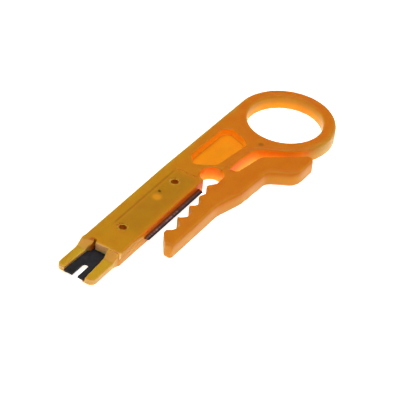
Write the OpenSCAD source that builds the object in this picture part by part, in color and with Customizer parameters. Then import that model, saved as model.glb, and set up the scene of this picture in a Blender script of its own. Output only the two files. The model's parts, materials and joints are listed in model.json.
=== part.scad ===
// Pocket cable stripper and punch down tool.
// One plastic moulding makes the finger ring, the spine, the blade housing and the sprung
// stripping arm. A cover with two hollow pins clamps the two steel blades in the housing.
//
// The origin is the centre of the finger ring on the flat underside.
// +X points at the punch tip, +Y is the side of the stripping arm and +Z is up.

/* [Moulding] */
// Thickness of the whole moulding
thickness = 4; // [3.6:0.1:5]
// Y of the straight outer edge of the spine
spine_y = -13.5; // [-13.8:0.1:-13.3]
// Length from the ring centre to the tip of the tool
tip_x = 81.8; // [81.5:0.1:83]

/* [Finger ring] */
// Radius of the finger hole
finger_r = 9.75; // [9:0.05:10.5]
// Radius of the outer edge of the ring
ring_r = 13.05; // [12.6:0.05:13.3]
// Shift of the outer edge from the finger hole, which leaves the ring thicker towards the arm
ring_shift = 0.4; // [0:0.1:0.5]

/* [Housing] */
// X where the housing ends and the tip begins
housing_end_x = 70.9; // [70:0.1:71.5]
// Y of the housing wall that faces the arm
housing_y = -2.6; // [-2.8:0.1:-2.4]
// X of the rear edge of the blade cover
cover_start_x = 34.8; // [34.6:0.1:35.2]
// Y of the seam between the cover and the spine
seam_y = -10.3; // [-10.5:0.1:-10.1]
// X of the rear cover pin
rear_pin_x = 39.7; // [39.5:0.1:41]
// X of the front cover pin
front_pin_x = 62.3; // [62:0.1:64]
// Y of both cover pins
pin_y = -7.65; // [-7.8:0.05:-7.5]
// Outer diameter of a cover pin
pin_d = 2.8; // [2.5:0.1:2.9]

/* [Stripping arm] */
// X of the middle of the living hinge
hinge_x = 27.6; // [27.4:0.1:27.8]
// Y of the middle of the living hinge
hinge_y = -0.7; // [-0.8:0.1:-0.6]
// Radius of the round recess beside the living hinge
recess_r = 2.9; // [2.6:0.1:3]
// Radius of the round end of the slot behind the arm
slot_end_r = 1.25; // [1.2:0.05:1.3]
// Width of the flat left on each tooth
tooth_flat = 0.4; // [0.3:0.1:0.8]

/* [Blades] */
// Thickness of the sheet that both blades are cut from
blade_t = 0.5; // [0.4:0.05:0.5]
// Y of the cutting edge of the stripping blade
edge_y = -1.3; // [-1.6:0.1:-1.2]
// Width of the wire slot in the punch blade
wire_slot_w = 1.5; // [1.2:0.1:2]
// X of the closed end of the wire slot
wire_slot_x = 76.5; // [76.3:0.1:78]

/* [Hidden] */

// An overcut, and the turn of one step along a rounded outline
cut = 1;
arc_step = 6;
$fn = 96;

// Heights inside the housing, from the underside
bed_z = 1.1;
punch_top_z = bed_z + blade_t;
strip_z = punch_top_z + 0.05;
strip_top_z = strip_z + blade_t;
pin_base_z = 0.5;
pin_top_z = thickness - 0.1;
pin_recess_d = 2;
pin_recess_depth = 1.3;
pin_clearance = 0.1;

// Tip: a thinner tongue whose two cheeks hold the edges of the punch blade. A ramp leads to it
// above and below. Its bed stops short of the wire slot, and ledges carry the blade's edges.
cheek_z = 2.35;
tip_base_z = 0.7;
ramp_length = 2.4;
left_cheek_y = spine_y + 0.1;
right_cheek_y = housing_y - 0.15;
tip_slant = 0.5;
bed_end_x = 76;
ledge_w = 0.7;

// Finger ring, the straight spine that leaves it, and the slot wall that meets it
ring_centre = [ring_shift, ring_shift / 2];
ring_arc_start = 30;
ring_arc_end = 269;
ring_arc_step = 3;
spine_bend_x = 36;
slot_bend = [20.8, 0.05];
ring_corner = [15.9, 0.7];

// The two pockets above and below the thin web in the body
web_bottom_z = 0.9;
web_top_z = thickness - 1.9;
pocket_corners = [
    [28.0, -10.4, 1.4], [30.7, -8.0, 1.0], [27.3, -3.4, 1.4], [15.6, -1.9, 1.2],
    [14.0, -3.8, 1.0], [12.4, -8.4, 1.2], [14.2, -10.0, 1.2]
];

// Living hinge: a band of the moulding between the slot end and the round recess.
// across points along the thickness of the band, and along points from the body to the arm.
hinge_tilt = 72.5;
along = [cos(hinge_tilt), sin(hinge_tilt)];
across = [sin(hinge_tilt), -cos(hinge_tilt)];
hinge = [hinge_x, hinge_y];
recess_centre = [31.3, -2.1];
slot_end_centre = [25.55, 1.05];
slot_foot = slot_end_centre - [0, slot_end_r];
root_band = 4;
arm_band = 1.2;
root_inner = slot_foot + root_band * across;
arm_inner = hinge + arm_band * along + 2.8 * across;
arm_outer = hinge + arm_band * along - 1.6 * across;

// Stripping arm: the tooth tips, and how deep each notch between two tips is
tooth_tips = [[35.9, -0.8], [40.6, 0.05], [45.3, 0.2], [50.8, 0.4], [56.6, 0.9]];
notch_depths = [1.0, 1.5, 1.9, 1.9];
nose_x = 60.9;
arm_back_y = 5.4;
tail_x = 9.7;
tail_y = 14.4;

// Stripping blade seat and punch blade channel
strip_start_x = 36.45;
strip_end_x = 60.2;
strip_back_y = -9.6;
seat_gap = 0.05;
grind_w = 0.5;
punch_start_x = 58.5;
punch_end_x = tip_x - 0.3;
neck_x = 71.8;
shank_y = [-10, -6];
fork_y = [-11.1, -5.2];
wire_slot_y = -7.95;

function unit(v) = v / norm(v);

function arc(centre, r, from, to, step) =
    let (n = max(1, ceil(abs(to - from) / step)))
    [for (i = [0:n]) let (a = from + (to - from) * i / n) centre + r * [cos(a), sin(a)]];

// Points that round the corner b between a and c with the radius r
function rounded_corner(a, b, c, r) =
    r == 0 ? [b] :
    let (
        u = unit(a - b),
        v = unit(c - b),
        half = acos(u * v) / 2,
        centre = b + unit(u + v) * r / sin(half),
        first = b + u * r / tan(half) - centre,
        last = b + v * r / tan(half) - centre,
        from = atan2(first.y, first.x),
        turn = atan2(first.x * last.y - first.y * last.x, first * last)
    )
    arc(centre, r, from, from + turn, arc_step);

// A closed outline from corners that are given as [x, y, radius]
function rounded(corners) =
    let (n = len(corners))
    [for (i = [0:n - 1])
        let (a = corners[(i + n - 1) % n], b = corners[i], c = corners[(i + 1) % n])
        each rounded_corner([a.x, a.y], [b.x, b.y], [c.x, c.y], b.z)];

// An upright prism between two heights
module slab(outline, bottom, top) {
    translate([0, 0, bottom])
        linear_extrude(top - bottom)
            polygon(outline);
}

// An upright hole through the whole thickness
module through_hole(centre, r) {
    translate([centre.x, centre.y, -cut])
        cylinder(h = thickness + 2 * cut, r = r);
}

// The two round cuts that leave the living hinge between them
module hinge_cuts() {
    through_hole(recess_centre, recess_r);
    through_hole(slot_end_centre, slot_end_r);
}

// The outline of the body without its tip: housing wall, hinge root, slot wall, ring and spine
function body_outline() = concat(
    [[housing_end_x, housing_y]],
    rounded_corner([housing_end_x, housing_y], [35.3, housing_y], [32, -2.9], 0.4),
    [[32, -2.9], root_inner, slot_foot],
    rounded_corner(slot_foot, slot_bend, ring_corner, 6),
    rounded_corner(slot_bend, ring_corner, [11.8, 6.6], 3),
    arc(ring_centre, ring_r, ring_arc_start, ring_arc_end, ring_arc_step),
    [[spine_bend_x, spine_y], [housing_end_x, spine_y]]
);

tip_corners = [
    [housing_end_x - cut, left_cheek_y, 0], [tip_x - tip_slant, left_cheek_y, 1.3],
    [tip_x, right_cheek_y, 1.5], [housing_end_x - cut, right_cheek_y, 0]
];

// The tongue of the tip: its plan and its side profile, with the ramps, crossed
module tip() {
    ramp_end_x = housing_end_x + ramp_length;
    intersection() {
        slab(rounded(tip_corners), 0, thickness);
        rotate([90, 0, 0])
            linear_extrude(-spine_y)
                polygon([
                    [housing_end_x - cut, 0], [housing_end_x, 0], [ramp_end_x, tip_base_z],
                    [tip_x, tip_base_z], [tip_x, cheek_z], [ramp_end_x, cheek_z],
                    [housing_end_x, thickness], [housing_end_x - cut, thickness]
                ]);
    }
}

// The outline of the punch blade, grown by a gap for the channel that it lies in
function punch_outline(gap) = [
    [punch_start_x - gap, shank_y[0] - gap], [neck_x - gap, shank_y[0] - gap],
    [neck_x + 0.6, fork_y[0] + 0.4 - gap], [punch_end_x, fork_y[0] - gap],
    [punch_end_x, fork_y[1] + gap], [neck_x + 0.6, shank_y[1] + 0.2 + gap],
    [neck_x - gap, shank_y[1] + gap], [punch_start_x - gap, shank_y[1] + gap]
];

// The wire slot with its round closed end, open at the tip
module wire_slot() {
    slot_r = wire_slot_w / 2;
    end = [wire_slot_x + slot_r, wire_slot_y];
    through_hole(end, slot_r);
    translate([end.x, wire_slot_y - slot_r, -cut])
        cube([tip_x, wire_slot_w, thickness + 2 * cut]);
}

// The open front of the bed, under the two tines
module bed_mouth() {
    translate([bed_end_x, fork_y[0] + ledge_w, -cut])
        cube([tip_x, fork_y[1] - fork_y[0] - 2 * ledge_w, thickness]);
}

// The room for the blades and the cover, cut from the top of the housing
module blade_room() {
    width = housing_y + cut - seam_y;
    translate([cover_start_x, seam_y, strip_top_z])
        cube([housing_end_x - cover_start_x, width, thickness]);
    translate([strip_start_x - seat_gap, strip_back_y - seat_gap, strip_z])
        cube([strip_end_x - strip_start_x + 2 * seat_gap, width, thickness]);
    slab(punch_outline(seat_gap), bed_z, thickness + cut);
    translate([punch_end_x - cut, fork_y[0] - seat_gap, bed_z])
        cube([tip_x, fork_y[1] - fork_y[0] + 2 * seat_gap, thickness]);
}

module pin_holes(d, from) {
    for (x = [rear_pin_x, front_pin_x])
        translate([x, pin_y, from])
            cylinder(h = thickness + cut - from, d = d);
}

module handle_body() {
    color("#e88a12")
        difference() {
            union() {
                slab(body_outline(), 0, thickness);
                tip();
            }
            through_hole([0, 0], finger_r);
            hinge_cuts();
            slab(rounded(pocket_corners), web_top_z, thickness + cut);
            slab(rounded(pocket_corners), -cut, web_bottom_z);
            blade_room();
            pin_holes(pin_d, pin_base_z);
            bed_mouth();
        }
}

module living_hinge() {
    color("#e07c10")
        difference() {
            slab([slot_foot, root_inner, arm_inner, arm_outer], 0, thickness);
            hinge_cuts();
        }
}

// The arm before its notches are cut: hinge end, tooth line, nose, back, tail and slot wall
function arm_outline() = concat(
    [arm_outer, arm_inner, recess_centre + [0, recess_r]],
    rounded_corner([31.3, 0.8], [33.6, 0.8], tooth_tips[0], 0.8),
    tooth_tips,
    rounded_corner([56.6, 0.9], [57.6, 0.9], [nose_x, 3.5], 1),
    rounded_corner([57.6, 0.9], [nose_x, 3.4], [nose_x, arm_back_y], 0.8),
    rounded_corner([nose_x, 3.4], [nose_x, arm_back_y], [40.5, arm_back_y], 0.7),
    rounded_corner([nose_x, arm_back_y], [40.5, arm_back_y], [32.5, 7.5], 12),
    rounded_corner([40.5, arm_back_y], [32.5, 7.5], [21.7, 8], 10),
    rounded_corner([32.5, 7.5], [21.7, 8], [17.6, tail_y], 2.5),
    rounded_corner([21.7, 8], [17.6, tail_y], [tail_x, tail_y], 4),
    rounded_corner([17.6, tail_y], [tail_x, tail_y], [tail_x, 12.7], 0.6),
    rounded_corner([tail_x, tail_y], [tail_x, 12.7], [17.6, 3.6], 0.5),
    rounded_corner([tail_x, 12.7], [17.6, 3.6], [25.2, 2.3], 2.5),
    [slot_end_centre + [0, slot_end_r]]
);

// One notch of the jaw: a round cut between two tooth tips, to the given depth
module notch(first, last, depth) {
    chord = norm(last - first) - tooth_flat;
    r = (chord * chord / 4 + depth * depth) / (2 * depth);
    lean = unit(last - first);
    centre = (first + last) / 2 + (depth - r) * [-lean.y, lean.x];
    through_hole(centre, r);
}

module stripping_arm() {
    color("#ec9420")
        difference() {
            slab(arm_outline(), 0, thickness);
            hinge_cuts();
            for (i = [0:len(notch_depths) - 1])
                notch(tooth_tips[i], tooth_tips[i + 1], notch_depths[i]);
        }
}

// The cover, with a deeper front end that holds the punch blade down
module blade_cover() {
    front_pad_x = strip_end_x + 2 * seat_gap;
    pad_y = [shank_y[0] + 0.1, shank_y[1] - 0.1];
    corner_notch = 0.8;
    color("#c8880f")
        difference() {
            union() {
                translate([cover_start_x, seam_y, strip_top_z])
                    cube([
                        housing_end_x - cover_start_x, housing_y - seam_y,
                        thickness - strip_top_z
                    ]);
                translate([front_pad_x, pad_y[0], punch_top_z])
                    cube([housing_end_x - front_pad_x, pad_y[1] - pad_y[0], thickness / 2]);
            }
            pin_holes(pin_d, -cut);
            translate([housing_end_x - corner_notch, seam_y - cut, 0])
                cube([corner_notch + cut, corner_notch + cut, thickness + cut]);
        }
}

// A hollow pin, driven through the cover and one blade into the housing floor
module cover_pin(x) {
    color("#f0a83c")
        translate([x, pin_y, 0])
            difference() {
                translate([0, 0, pin_base_z])
                    cylinder(h = pin_top_z - pin_base_z, d = pin_d);
                translate([0, 0, pin_top_z - pin_recess_depth])
                    cylinder(h = pin_recess_depth + cut, d = pin_recess_d);
            }
}

module front_cover_pin() {
    cover_pin(front_pin_x);
}

module rear_cover_pin() {
    cover_pin(rear_pin_x);
}

// A rectangular blade that is ground on both faces along its free edge
module stripping_blade() {
    color("#6b6d72")
        difference() {
            translate([strip_start_x, 0, 0])
                rotate([90, 0, 90])
                    linear_extrude(strip_end_x - strip_start_x)
                        polygon([
                            [strip_back_y, strip_z], [edge_y - grind_w, strip_z],
                            [edge_y, strip_z + blade_t / 2], [edge_y - grind_w, strip_top_z],
                            [strip_back_y, strip_top_z]
                        ]);
            pin_holes(pin_d + pin_clearance, -cut);
        }
}

// A flat fork that pushes a wire into its terminal
module punch_blade() {
    color("#2e3038")
        difference() {
            slab(punch_outline(0), bed_z, punch_top_z);
            pin_holes(pin_d + pin_clearance, -cut);
            wire_slot();
        }
}

handle_body();
living_hinge();
stripping_arm();
blade_cover();
front_cover_pin();
rear_cover_pin();
stripping_blade();
punch_blade();
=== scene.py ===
"""Looks of a pocket punch down tool: softened translucent mouldings, ground steel and a white table.

Everything is in metres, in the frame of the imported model: the origin is the centre of the finger
ring on the underside, +X points at the punch tip, +Y at the stripping arm and +Z up.
"""
import json
import math

import bmesh
import bpy
from mathutils import Matrix, Vector


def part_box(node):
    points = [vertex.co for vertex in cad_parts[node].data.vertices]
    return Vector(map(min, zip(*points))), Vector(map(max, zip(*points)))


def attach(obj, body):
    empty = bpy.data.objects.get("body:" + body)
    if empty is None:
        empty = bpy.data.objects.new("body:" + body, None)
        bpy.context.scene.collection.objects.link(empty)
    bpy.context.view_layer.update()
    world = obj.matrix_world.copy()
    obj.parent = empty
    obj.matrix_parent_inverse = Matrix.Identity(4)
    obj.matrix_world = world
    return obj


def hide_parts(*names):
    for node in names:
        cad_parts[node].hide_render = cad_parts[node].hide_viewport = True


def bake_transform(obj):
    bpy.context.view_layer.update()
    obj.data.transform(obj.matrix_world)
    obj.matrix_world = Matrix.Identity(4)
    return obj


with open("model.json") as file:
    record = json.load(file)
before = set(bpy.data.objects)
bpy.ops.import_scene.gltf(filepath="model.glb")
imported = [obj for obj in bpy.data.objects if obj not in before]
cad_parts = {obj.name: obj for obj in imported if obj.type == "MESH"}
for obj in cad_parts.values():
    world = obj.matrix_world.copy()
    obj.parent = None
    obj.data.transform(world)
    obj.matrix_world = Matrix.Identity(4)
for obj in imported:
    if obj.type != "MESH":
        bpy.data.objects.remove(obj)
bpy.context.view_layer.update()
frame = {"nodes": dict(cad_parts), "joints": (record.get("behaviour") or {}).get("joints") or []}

MM = 0.001
CLOSE = 0.01 * MM

# Softened edges of the mouldings
VOXEL = 0.2 * MM
BODY_EDGE = 0.8 * MM
POCKET_EDGE = 0.3 * MM
ARM_EDGE = 0.9 * MM
COVER_EDGE = 0.45 * MM
COVER_END = 0.3 * MM
COVER_LAP = 0.25 * MM
COVER_PROUD = 0.03 * MM
LAP_END = 0.6 * MM
RELAX_PASSES = 4

# The draft of the slot's wall, which brings its foot closer to the arm
DRAFT = 0.3 * MM
DRAFT_TOP = 2.5 * MM

# The living hinge: the direction from the body to the arm, and how far the arm's root is sunk
HINGE_TILT = math.radians(72.5)
ROOT_DEPTH = 0.8 * MM

# Areas of the plan, each from its low corner to its high corner
POCKET_AREA = (Vector((11, -10.5)) * MM, Vector((31.5, -1.7)) * MM)
SLOT_AREA = (Vector((12, -1)) * MM, Vector((25, 4)) * MM)

# Marks: the gate and its bright spot on the cover, the ejector on the body, and the seam's end, where
# shade is painted
GATE = Vector((45.2, -8.5, 4)) * MM
BRIGHT_SPOT = Vector((47.6, -7.7, 4)) * MM
EJECTOR = Vector((13.3, 0.9, 4)) * MM
NOTCH = Vector((70.9, -10.3, 4)) * MM
RING_CENTRE = Vector((0, 0, 0))

# The gate's vestige, a low cone whose foot is sunk in the cover
GATE_FOOT_R = 0.42 * MM
GATE_TIP_R = 0.3 * MM
GATE_HEIGHT = 0.18 * MM
GATE_MIDDLE = -0.05 * MM

# The ejector's mark, and the softness of its edge as a share of its radius
EJECTOR_R = 0.55 * MM
EJECTOR_DEPTH = 0.12 * MM
MARK_END = 1.3
MARK_SLOPE = 0.6

# The table
TABLE_HALF = 2
TABLE_DROP = 0.05 * MM

# The camera: a long lens, at the angle that the tool was photographed from
CAMERA_TARGET = Vector((0.0374, -0.00135, 0))
CAMERA_AZIMUTH = math.radians(118.61)
CAMERA_ELEVATION = math.radians(38.3)
CAMERA_ROLL = math.radians(6.8)
CAMERA_DISTANCE = 0.6116
CAMERA_LENS = 225


# ---------------------------------------------------------------- meshes

def mesh_of(*nodes):
    """The joined meshes of some CAD nodes, with their flat faces whole again."""
    bm = bmesh.new()
    for node in nodes:
        bm.from_mesh(frame["nodes"][node].data)
    bmesh.ops.remove_doubles(bm, verts=bm.verts, dist=0.002 * MM)
    bmesh.ops.dissolve_limit(
        bm, angle_limit=math.radians(1), verts=bm.verts, edges=bm.edges, delimit={"NORMAL"}
    )
    bm.normal_update()
    return bm


def rim_edges(bm, keep):
    """The edges between a level face and an upright one whose outward normal keep() accepts."""
    found = []
    for edge in bm.edges:
        if len(edge.link_faces) != 2:
            continue
        level = [f for f in edge.link_faces if abs(f.normal.z) > 0.99]
        upright = [f for f in edge.link_faces if abs(f.normal.z) < 0.01]
        if len(level) == 1 and len(upright) == 1 and keep(edge, upright[0].normal):
            found.append(edge)
    return found


def at_height(edge, height):
    return all(abs(vertex.co.z - height) < CLOSE for vertex in edge.verts)


def soften(bm, edges, radius):
    """Rounds the edges."""
    bmesh.ops.bevel(
        bm, geom=edges, offset=radius, offset_type="OFFSET", segments=4, profile=0.5,
        affect="EDGES", clamp_overlap=False,
    )


def new_piece(name, bm):
    mesh = bpy.data.meshes.new(name)
    bm.to_mesh(mesh)
    bm.free()
    piece = bpy.data.objects.new(name, mesh)
    bpy.context.scene.collection.objects.link(piece)
    return piece


def apply_modifiers(piece):
    """Makes the piece's mesh what its modifiers show."""
    graph = bpy.context.evaluated_depsgraph_get()
    mesh = bpy.data.meshes.new_from_object(piece.evaluated_get(graph))
    piece.modifiers.clear()
    piece.data = mesh


def moulded(piece):
    """Melts a sharp mesh into one soft moulding, and relaxes its edges."""
    melt = piece.modifiers.new("melt", "REMESH")
    melt.mode = "VOXEL"
    melt.voxel_size = VOXEL
    melt.use_smooth_shade = True
    ease = piece.modifiers.new("ease", "SMOOTH")
    ease.factor = 0.5
    ease.iterations = RELAX_PASSES
    apply_modifiers(piece)
    piece.data.polygons.foreach_set("use_smooth", [True] * len(piece.data.polygons))


def sink_disc(piece, centre, radius, depth):
    """Sinks a small round mark into the top of a moulding."""
    for vertex in piece.data.vertices:
        if abs(vertex.co.z - centre.z) > VOXEL:
            continue
        away = (vertex.co.xy - centre.xy).length / radius
        if away < MARK_END:
            vertex.co.z -= depth * min(1, (MARK_END - away) / MARK_SLOPE)


def inside(place, area):
    """True if a place is over an area of the plan."""
    low, high = area
    return low.x < place.x < high.x and low.y < place.y < high.y


def build_handle():
    """The ring, spine, housing and tip of the moulding."""
    bm = mesh_of("handle_body")
    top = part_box("handle_body")[1].z
    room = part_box("blade_cover")[0]

    def middle(edge):
        return (edge.verts[0].co + edge.verts[1].co) / 2

    def in_pocket(edge, normal):
        return at_height(edge, top) and inside(middle(edge), POCKET_AREA)

    def outside(edge, normal):
        in_room = middle(edge).x > room.x - 0.1 * MM and middle(edge).y > room.y - 0.1 * MM
        return at_height(edge, top) and not in_room and not in_pocket(edge, normal)

    soften(bm, rim_edges(bm, outside), BODY_EDGE)
    soften(bm, rim_edges(bm, in_pocket), POCKET_EDGE)
    piece = new_piece("handle_moulding", bm)
    moulded(piece)
    sink_disc(piece, EJECTOR, EJECTOR_R, EJECTOR_DEPTH)
    # The normals are read first, because reading one after a vertex has moved works all out again
    normals = [tuple(normal.vector) for normal in piece.data.vertex_normals]
    for vertex, normal in zip(piece.data.vertices, normals):
        if inside(vertex.co, SLOT_AREA) and normal[1] > 0.3:
            vertex.co.y += DRAFT * max(0, 1 - vertex.co.z / DRAFT_TOP)
    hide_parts("handle_body")
    return piece


def build_arm():
    """The stripping arm with its living hinge, whose root is sunk into the body."""
    hinge = Vector(frame["joints"][0]["pos_m"])
    along = Vector((math.cos(HINGE_TILT), math.sin(HINGE_TILT), 0))
    bm = mesh_of("living_hinge", "stripping_arm")

    def rootness(face):
        beyond = max(0, (face.calc_center_median() - hinge).dot(along))
        return -face.normal.dot(along) - 100 * beyond

    root = max(bm.faces, key=rootness)
    made = bmesh.ops.extrude_discrete_faces(bm, faces=[root])
    bmesh.ops.translate(bm, verts=made["faces"][0].verts, vec=-ROOT_DEPTH * along)

    def at_back(edge, normal):
        return edge.verts[0].co.z > 1 * MM and (normal.y > 0.3 or normal.x > 0.95)

    soften(bm, rim_edges(bm, at_back), ARM_EDGE)
    piece = new_piece("stripping_arm_moulding", bm)
    moulded(piece)
    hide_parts("stripping_arm", "living_hinge")
    return piece, hinge, along


def build_cover():
    """The blade cover, with softened edges, a seam closed by a thin lap, and its gate's vestige."""
    bm = mesh_of("blade_cover")
    low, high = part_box("blade_cover")
    top = high.z

    for side, radius in (((0, 1, 0), COVER_EDGE), ((1, 0, 0), COVER_END), ((-1, 0, 0), COVER_END)):
        def on_side(edge, normal):
            return at_height(edge, top) and normal.dot(Vector(side)) > 0.9

        soften(bm, rim_edges(bm, on_side), radius)
    for vertex in bm.verts:
        if vertex.co.y < low.y + CLOSE and vertex.co.x < high.x - LAP_END:
            vertex.co.y -= COVER_LAP
        if vertex.co.z > top - CLOSE:
            vertex.co.z += COVER_PROUD
    bmesh.ops.create_cone(
        bm, cap_ends=True, segments=24, radius1=GATE_FOOT_R, radius2=GATE_TIP_R, depth=GATE_HEIGHT,
        matrix=Matrix.Translation((GATE.x, GATE.y, top + GATE_MIDDLE)),
    )
    piece = new_piece("cover_moulding", bm)
    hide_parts("blade_cover")
    return piece


# ---------------------------------------------------------------- materials

class Nodes:
    """Builds one material's node tree around its Principled shader."""

    def __init__(self, name):
        self.material = bpy.data.materials.new(name)
        self.material.use_nodes = True
        self.tree = self.material.node_tree
        self.shader = self.tree.nodes["Principled BSDF"]
        self.place = self.new("ShaderNodeTexCoord").outputs["Object"]
        self.xyz = self.new("ShaderNodeSeparateXYZ", Vector=self.place).outputs

    def new(self, kind, settings=(), **inputs):
        node = self.tree.nodes.new(kind)
        for key, value in dict(settings).items():
            setattr(node, key, value)
        for key, value in inputs.items():
            self.put(node.inputs[key.replace("_", " ")], value)
        return node

    def put(self, socket, value):
        if isinstance(value, bpy.types.NodeSocket):
            self.tree.links.new(value, socket)
        else:
            socket.default_value = value

    def math(self, operation, a, b=0.0):
        node = self.new("ShaderNodeMath", {"operation": operation})
        self.put(node.inputs[0], a)
        self.put(node.inputs[1], b)
        return node.outputs[0]

    def every(self, *factors):
        """The product of some factors from 0 to 1: full only where every one of them is."""
        product = factors[0]
        for factor in factors[1:]:
            product = self.math("MULTIPLY", product, factor)
        return product

    def ramp(self, value, low, high, to_low=0.0, to_high=1.0):
        """A smooth step of value from low to high."""
        node = self.new(
            "ShaderNodeMapRange", {"interpolation_type": "SMOOTHSTEP"}, Value=value,
            From_Min=low, From_Max=high, To_Min=to_low, To_Max=to_high,
        )
        return node.outputs["Result"]

    def mix(self, factor, a, b, blend="MIX"):
        node = self.new("ShaderNodeMix", {"data_type": "RGBA", "blend_type": blend})
        self.put(node.inputs[0], factor)
        for socket, value in ((node.inputs[6], a), (node.inputs[7], b)):
            self.put(socket, (*value, 1) if isinstance(value, tuple) else value)
        return node.outputs[2]

    def noise(self, scale, detail=2.0, stretch=(1, 1, 1)):
        """Noise whose grains are about 1/scale metres across, or longer where stretch is below 1."""
        mapped = self.new("ShaderNodeMapping", Vector=self.place, Scale=stretch)
        return self.new(
            "ShaderNodeTexNoise", Vector=mapped.outputs[0], Scale=scale, Detail=detail
        ).outputs["Fac"]

    def near(self, centre, inner, outer):
        """1 within inner of a point, seen from above, falling to 0 at outer."""
        flat = self.new("ShaderNodeVectorMath", {"operation": "MULTIPLY"})
        self.put(flat.inputs[0], self.place)
        flat.inputs[1].default_value = (1, 1, 0)
        away = self.new("ShaderNodeVectorMath", {"operation": "DISTANCE"})
        self.put(away.inputs[0], flat.outputs[0])
        away.inputs[1].default_value = (centre.x, centre.y, 0)
        return self.ramp(away.outputs["Value"], outer, inner)

    def beyond(self, centre, inner, outer):
        """0 within inner of a point, seen from above, rising to 1 at outer."""
        return self.math("SUBTRACT", 1.0, self.near(centre, inner, outer))

    def bump(self, height, distance, strength=1.0, below=None):
        inputs = {"Height": height, "Distance": distance, "Strength": strength}
        if below is not None:
            inputs["Normal"] = below
        return self.new("ShaderNodeBump", **inputs).outputs["Normal"]


# Colours of the plastic's level faces, by where the moulding is thick, thin, or lies over steel, with a
# painted glow where it is thin and painted shade over the steel
DEEP_ORANGE = (0.58, 0.165, 0.002)
MUSTARD = (0.51, 0.225, 0.0015)
LEMON = (0.53, 0.31, 0.010)
GLOW = (0.74, 0.275, 0.001)
OLIVE_SHADE_OVER_STEEL = (0.43, 0.19, 0.0015)
SPINE_EDGE = (0.46, 0.265, 0.012)
RING_EDGE = (0.49, 0.25, 0.02)

# Colours of its softened rims: painted light, lit copies of the resin's colour where the rounding turns
# up
RIM = (0.58, 0.235, 0.010)
SPINE_RIM = (0.43, 0.255, 0.006)
RING_RIM = (0.50, 0.28, 0.03)
TIP_RIM = (0.64, 0.34, 0.05)

# Colours of its walls, from the top to the foot where there are two: painted light and shade, as lit
# and shaded copies of the resin
PEACH, PALE = (0.66, 0.27, 0.016), (0.60, 0.29, 0.05)
VIVID, SUNLIT = (0.95, 0.28, 0.006), (1.0, 0.44, 0.03)
RING_WALL, RING_FOOT = (0.56, 0.31, 0.05), (0.72, 0.46, 0.14)
HOLE_WALL, HOLE_FOOT = (0.62, 0.27, 0.012), (0.92, 0.38, 0.012)
TIP_WALL = (0.60, 0.46, 0.17)
POCKET_WALL = (1.0, 0.34, 0.002)
CORNER_WALL = (0.85, 0.22, 0.004)
BLADE_SIDE_WALL = (0.85, 0.20, 0.003)
COVER_END_WALL = (0.95, 0.55, 0.22)
ARM_END_WALL = (0.66, 0.27, 0.02)

# Colours of its marks, of the painted shade at the seam's end, of its pins, and what dulls it
SEAM = (0.36, 0.12, 0.001)
BRIGHT_MARK = (0.66, 0.27, 0.004)
GATE_MARK = (0.36, 0.14, 0.002)
EJECTOR_MARK = (0.36, 0.13, 0.003)
NOTCH_SHADE_PAINTED = (0.40, 0.10, 0.008)
# The pins' wall and recess colours are painted shade
PIN_FACE, PIN_WALL = (0.52, 0.25, 0.02), (0.45, 0.17, 0.006)
PIN_RECESS_SHADE = (0.55, 0.19, 0.006)
CLOUD = (0.9, 0.72, 0.5)
SPECK = (0.75, 0.6, 0.5)

# Colours of the stripping blade: reddish-brown beside the plastic, and black along its edge
REDDISH_BROWN = (0.20, 0.040, 0.010)
EDGE_BLACK = (0.012, 0.012, 0.014)

# Heights between which a wall's colours change, from the top to the foot
PEACH_Z = (3.6 * MM, 1.6 * MM)
PALE_Z = (1.6 * MM, 0)
FACING_Z = (2.6 * MM, 0.6 * MM)
HOLE_Z = (3 * MM, 0.8 * MM)

# How far the arm and the other parts keep the ring's orange, along the tool
ARM_ORANGE_END = 110 * MM
ORANGE_START = 16 * MM
ORANGE_END = 60 * MM


def cover_colours(n, face, rim, wall, facing):
    """The cover: duller over the blades with painted shade, with its seam and its marks of the mould,
    and painted light on its walls.
    """
    x, y = n.xyz["X"], n.xyz["Y"]
    along_steel = n.every(n.ramp(x, 35 * MM, 37.2 * MM), n.ramp(x, 64 * MM, 61 * MM))
    across_steel = n.every(n.ramp(y, -10 * MM, -9 * MM), n.ramp(y, -2.6 * MM, -4.6 * MM))
    # Painted shade where the blades lie under the translucent cover
    face = n.mix(n.every(along_steel, across_steel), face, OLIVE_SHADE_OVER_STEEL)
    beside_seam = n.math("ABSOLUTE", n.math("SUBTRACT", y, -10.15 * MM))
    seam = n.every(n.ramp(beside_seam, 0.45 * MM, 0.1 * MM), along_steel, 0.75)
    face = n.mix(seam, face, SEAM)
    face = n.mix(n.near(BRIGHT_SPOT, 0.5 * MM, 1.8 * MM), face, BRIGHT_MARK)
    face = n.mix(n.near(GATE, 0.25 * MM, 0.7 * MM), face, GATE_MARK)
    # Painted light and shade on the cover's walls: redder beside the blade, paler on the end towards
    # the tip
    beside_blade = n.every(
        n.ramp(x, 34.2 * MM, 34.6 * MM), n.ramp(x, 62 * MM, 60 * MM), n.ramp(y, -4 * MM, -3.4 * MM)
    )
    wall = n.mix(beside_blade, wall, BLADE_SIDE_WALL)
    wall = n.mix(n.ramp(x, 70 * MM, 70.8 * MM), wall, COVER_END_WALL)
    return face, rim, wall


def arm_colours(n, face, rim, wall, facing):
    """The arm: painted light on its walls, vivid inside the slot and the recess, and orange on the
    walls that face the tip.
    """
    x, y = n.xyz["X"], n.xyz["Y"]
    faced = n.every(n.ramp(x, 35 * MM, 33.5 * MM), n.ramp(y, 6.5 * MM, 5 * MM))
    wall = n.mix(faced, wall, n.mix(n.ramp(n.xyz["Z"], *FACING_Z), VIVID, SUNLIT))
    tipward = n.every(n.ramp(facing["X"], 0.3, 0.8), n.ramp(x, 33 * MM, 35 * MM))
    wall = n.mix(tipward, wall, ARM_END_WALL)
    return face, rim, wall


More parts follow.
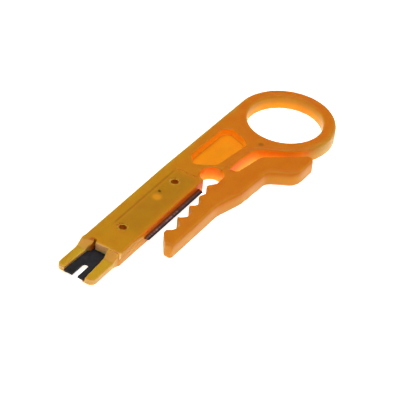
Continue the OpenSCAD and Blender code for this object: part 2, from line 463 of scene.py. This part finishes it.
def handle_colours(n, face, rim, wall, facing):
    """The body: a painted golden highlight around the ring, and painted glow in the pocket, the slot
    and the recess.
    """
    x, y, z = n.xyz["X"], n.xyz["Y"], n.xyz["Z"]
    # Painted glow on the thin web of the pocket's floor, then the spine's outer edge, and painted
    # highlight on the ring's outer edges
    thin = n.every(n.ramp(z, 2.6 * MM, 2.2 * MM), n.ramp(x, 34 * MM, 33 * MM))
    face, rim = n.mix(thin, face, GLOW), n.mix(thin, rim, GLOW)
    face = n.mix(n.near(EJECTOR, 0.3 * MM, 1.0 * MM), face, EJECTOR_MARK)
    face = n.mix(n.ramp(y, -11.4 * MM, -13 * MM, 0, 0.7), face, SPINE_EDGE)
    # Painted highlight on the ring's outer edge and rim, and painted light on its outer wall
    golden = n.every(n.beyond(RING_CENTRE, 11.7 * MM, 13.2 * MM), n.ramp(x, 9 * MM, 3 * MM, 0, 0.75))
    face, rim = n.mix(golden, face, RING_EDGE), n.mix(golden, rim, RING_RIM)
    wall = n.mix(golden, wall, n.mix(n.ramp(z, *FACING_Z), RING_WALL, RING_FOOT))
    # Painted light on the ring hole's wall, paler towards its foot
    hole = n.near(RING_CENTRE, 10 * MM, 10.6 * MM)
    wall = n.mix(hole, wall, n.mix(n.ramp(z, *HOLE_Z), HOLE_WALL, HOLE_FOOT))
    # Painted light on walls that face others across the slot and the recess, and painted shade in the
    # corner beside the blade
    faced = n.every(
        n.ramp(x, 6 * MM, 9 * MM), n.ramp(x, 35 * MM, 33.5 * MM), n.math("SUBTRACT", 1.0, hole),
        n.ramp(y, -10.8 * MM, -10.5 * MM),
    )
    wall = n.mix(faced, wall, n.mix(n.ramp(z, *FACING_Z), VIVID, SUNLIT))
    corner = n.every(
        n.ramp(x, 33 * MM, 34.5 * MM), n.ramp(x, 37.2 * MM, 36.4 * MM), n.ramp(y, -3.4 * MM, -3 * MM)
    )
    wall = n.mix(corner, wall, CORNER_WALL)
    # Painted light on the pocket's walls, with a painted glow: they give a little light though they are
    # no lamp
    pocket = n.every(
        n.ramp(y, -1.5 * MM, -2.0 * MM), n.ramp(z, 3.9 * MM, 3.4 * MM), n.ramp(x, 28.4 * MM, 27.8 * MM),
        n.ramp(x, 10.6 * MM, 11.2 * MM), faced,
    )
    wall = n.mix(pocket, wall, POCKET_WALL)
    light = n.every(pocket, n.ramp(facing["Z"], 0.75, 0.4, 0, 0.2))
    n.put(n.shader.inputs["Emission Strength"], light)
    n.shader.inputs["Emission Color"].default_value = (1, 0.26, 0.01, 1)
    # Painted shade in the dark corner at the seam's end beside the tip
    notch_shade = n.near(NOTCH, 0.7 * MM, 1.5 * MM)
    return n.mix(notch_shade, face, NOTCH_SHADE_PAINTED), rim, n.mix(notch_shade, wall, NOTCH_SHADE_PAINTED)


def pin_colours(n, face, rim, wall, facing):
    """A pin, with painted shade on its walls and in its browner recess."""
    recess = n.ramp(n.xyz["Z"], 3.8 * MM, 3.4 * MM)
    return n.mix(recess, PIN_FACE, PIN_RECESS_SHADE), rim, n.mix(recess, PIN_WALL, PIN_RECESS_SHADE)


def plastic(name, part_colours, orange_end=ORANGE_END):
    """The translucent resin, with the colours of one part and painted light and shade on its faces,
    rims and walls.
    """
    n = Nodes(name)
    x, y, z = n.xyz["X"], n.xyz["Y"], n.xyz["Z"]
    normal = n.new("ShaderNodeNewGeometry").outputs["Normal"]
    facing = n.new("ShaderNodeSeparateXYZ", Vector=normal).outputs
    upward = facing["Z"]
    # Level faces are orange at the ring and the arm, and mustard towards the tip and the spine
    tipwards = n.math("ADD", x, n.math("MULTIPLY", y, -0.9))
    cloud = n.math("SUBTRACT", n.noise(110, 3), 0.5)
    zone = n.math("ADD", tipwards, n.math("MULTIPLY", cloud, 20 * MM))
    skin = n.mix(n.ramp(zone, ORANGE_START, orange_end), DEEP_ORANGE, MUSTARD)
    tip = n.ramp(x, 71 * MM, 73.5 * MM)
    face = n.mix(tip, skin, LEMON)
    # Walls are paler towards the table and at the tip: painted light bounced up from the white table
    wall = n.mix(n.ramp(z, *PEACH_Z), face, PEACH)
    wall = n.mix(n.ramp(z, *PALE_Z), wall, PALE)
    wall = n.mix(n.every(tip, 0.7), wall, TIP_WALL)
    # Painted light on the rims, with its own tone along the spine and at the tip
    rim = n.mix(n.ramp(y, -11.5 * MM, -12.8 * MM), RIM, SPINE_RIM)
    rim = n.mix(n.ramp(x, 70 * MM, 71 * MM), rim, TIP_RIM)
    face, rim, wall = part_colours(n, face, rim, wall, facing)
    # Painted light: level faces, rims and walls take lit or shaded colours by which way they face
    colour = n.mix(n.ramp(upward, 0.30, 0.80), wall, n.mix(n.ramp(upward, 0.985, 0.8), face, rim))
    colour = n.mix(n.ramp(upward, -0.6, -0.9), colour, skin)
    # Cloudiness of the resin, and fine specks of pigment
    colour = n.mix(n.ramp(n.noise(260, 4), 0.35, 0.7, 0, 0.35), colour, CLOUD, "MULTIPLY")
    colour = n.mix(n.ramp(n.noise(2600, 2), 0.55, 0.8, 0, 0.3), colour, SPECK, "MULTIPLY")
    n.put(n.shader.inputs["Base Color"], colour)
    # Satin gloss, with rubbed patches and long fine scratches
    scratches = n.noise(900, 3, (0.06, 1, 1))
    rubbed = n.ramp(n.noise(180, 3), 0.3, 0.7, 0.30, 0.46)
    n.put(n.shader.inputs["Roughness"], n.math("ADD", rubbed, n.ramp(scratches, 0.62, 0.72, 0, 0.12)))
    relief = n.bump(n.noise(420, 3), 0.05 * MM, 0.5)
    grain = n.bump(n.noise(3600, 2), 0.012 * MM, 0.6, relief)
    n.put(n.shader.inputs["Normal"], n.bump(scratches, 0.012 * MM, 0.5, grain))
    for socket, value in (
        ("IOR", 1.45), ("Specular IOR Level", 0.15),
        ("Sheen Weight", 0.12), ("Sheen Roughness", 0.35), ("Sheen Tint", (1, 0.62, 0.25, 1)),
        ("Subsurface Weight", 1), ("Subsurface Radius", (1.0, 0.45, 0.08)),
        ("Subsurface Scale", 1.2 * MM),
    ):
        n.shader.inputs[socket].default_value = value
    return n.material


def steel(name, colour, light, roughness, lay, ground_from=None):
    """Steel sheet with grinding lines, stretched by lay, and a band that is ground to an edge."""
    n = Nodes(name)
    lines = n.noise(2600, 3, lay)
    patches = n.noise(380, 4)
    shade = n.mix(n.ramp(lines, 0.35, 0.7), colour, light)
    shade = n.mix(n.ramp(patches, 0.5, 0.72, 0, 0.6), shade, colour)
    rough = n.ramp(patches, 0.3, 0.7, roughness - 0.08, roughness + 0.1)
    if ground_from is not None:
        x, y = n.xyz["X"], n.xyz["Y"]
        beside_plastic = n.ramp(y, ground_from - 0.6 * MM, ground_from - 0.1 * MM, 0.95, 0.1)
        shade = n.mix(n.ramp(x, 52 * MM, 40 * MM, 0, 0.8), shade, colour)
        shade = n.mix(beside_plastic, shade, REDDISH_BROWN)
        shade = n.mix(n.ramp(y, ground_from, ground_from + 0.12 * MM), shade, EDGE_BLACK)
    n.put(n.shader.inputs["Base Color"], shade)
    n.put(n.shader.inputs["Roughness"], rough)
    n.put(n.shader.inputs["Normal"], n.bump(lines, 0.006 * MM, 0.6, n.bump(patches, 0.02 * MM, 0.4)))
    n.shader.inputs["Metallic"].default_value = 0.5
    return n.material


def paint(piece, material):
    piece.data.materials.clear()
    piece.data.materials.append(material)


# ---------------------------------------------------------------- stage

def build_floor():
    bm = bmesh.new()
    bmesh.ops.create_grid(bm, x_segments=1, y_segments=1, size=TABLE_HALF)
    floor = new_piece("table", bm)
    floor.location.z = -TABLE_DROP
    material = bpy.data.materials.new("white_table")
    material.use_nodes = True
    shader = material.node_tree.nodes["Principled BSDF"]
    shader.inputs["Base Color"].default_value = (0.9, 0.9, 0.9, 1)
    shader.inputs["Roughness"].default_value = 0.9
    shader.inputs["Specular IOR Level"].default_value = 0
    shader.inputs["Emission Color"].default_value = (1, 1, 1, 1)
    shader.inputs["Emission Strength"].default_value = 0.85
    paint(floor, material)


def build_world():
    """A dim room under a wide soft ceiling."""
    world = bpy.data.worlds.new("studio")
    world.use_nodes = True
    tree = world.node_tree
    height = tree.nodes.new("ShaderNodeSeparateXYZ")
    tree.links.new(tree.nodes.new("ShaderNodeTexCoord").outputs["Generated"], height.inputs[0])
    ceiling = tree.nodes.new("ShaderNodeMapRange")
    ceiling.interpolation_type = "SMOOTHSTEP"
    for name, value in (("From Min", 0.62), ("From Max", 0.9), ("To Min", 0.12), ("To Max", 2.4)):
        ceiling.inputs[name].default_value = value
    tree.links.new(height.outputs["Z"], ceiling.inputs["Value"])
    tree.links.new(ceiling.outputs["Result"], tree.nodes["Background"].inputs["Strength"])
    tree.nodes["Background"].inputs["Color"].default_value = (1, 1, 1, 1)
    bpy.context.scene.world = world


def build_camera():
    back = Vector((
        math.sin(CAMERA_AZIMUTH) * math.cos(CAMERA_ELEVATION),
        -math.cos(CAMERA_AZIMUTH) * math.cos(CAMERA_ELEVATION),
        math.sin(CAMERA_ELEVATION),
    ))
    data = bpy.data.cameras.new("camera")
    data.lens = CAMERA_LENS
    data.sensor_width = 36
    data.clip_start = 0.01
    camera = bpy.data.objects.new("camera", data)
    level = (-back).to_track_quat("-Z", "Y").to_matrix().to_4x4()
    place = Matrix.Translation(CAMERA_TARGET + CAMERA_DISTANCE * back)
    camera.matrix_world = place @ level @ Matrix.Rotation(CAMERA_ROLL, 4, "Z")
    bpy.context.scene.collection.objects.link(camera)
    bpy.context.scene.camera = camera


# ---------------------------------------------------------------- the scene

handle_plastic = plastic("orange_plastic", handle_colours)
arm_plastic = plastic("orange_plastic_arm", arm_colours, ARM_ORANGE_END)
cover_plastic = plastic("cover_plastic", cover_colours)
pin_plastic = plastic("cover_plastic_pin", pin_colours)
ground = steel(
    "ground_steel", (0.04, 0.026, 0.030), (0.36, 0.26, 0.25), 0.4, (1, 0.05, 0.3), -1.8 * MM
)
black = steel("black_steel", (0.004, 0.004, 0.007), (0.012, 0.012, 0.018), 0.6, (0.3, 0.3, 1))

handle = build_handle()
paint(handle, handle_plastic)
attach(handle, "handle")

arm, hinge, along = build_arm()
paint(arm, arm_plastic)
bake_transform(arm)

cover = build_cover()
paint(cover, cover_plastic)
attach(cover, "handle")

for node, material in (
    ("front_cover_pin", pin_plastic), ("rear_cover_pin", pin_plastic),
    ("stripping_blade", ground), ("punch_blade", black),
):
    paint(frame["nodes"][node], material)

build_floor()
build_world()
build_camera()
bpy.context.scene.view_settings.view_transform = "Standard"
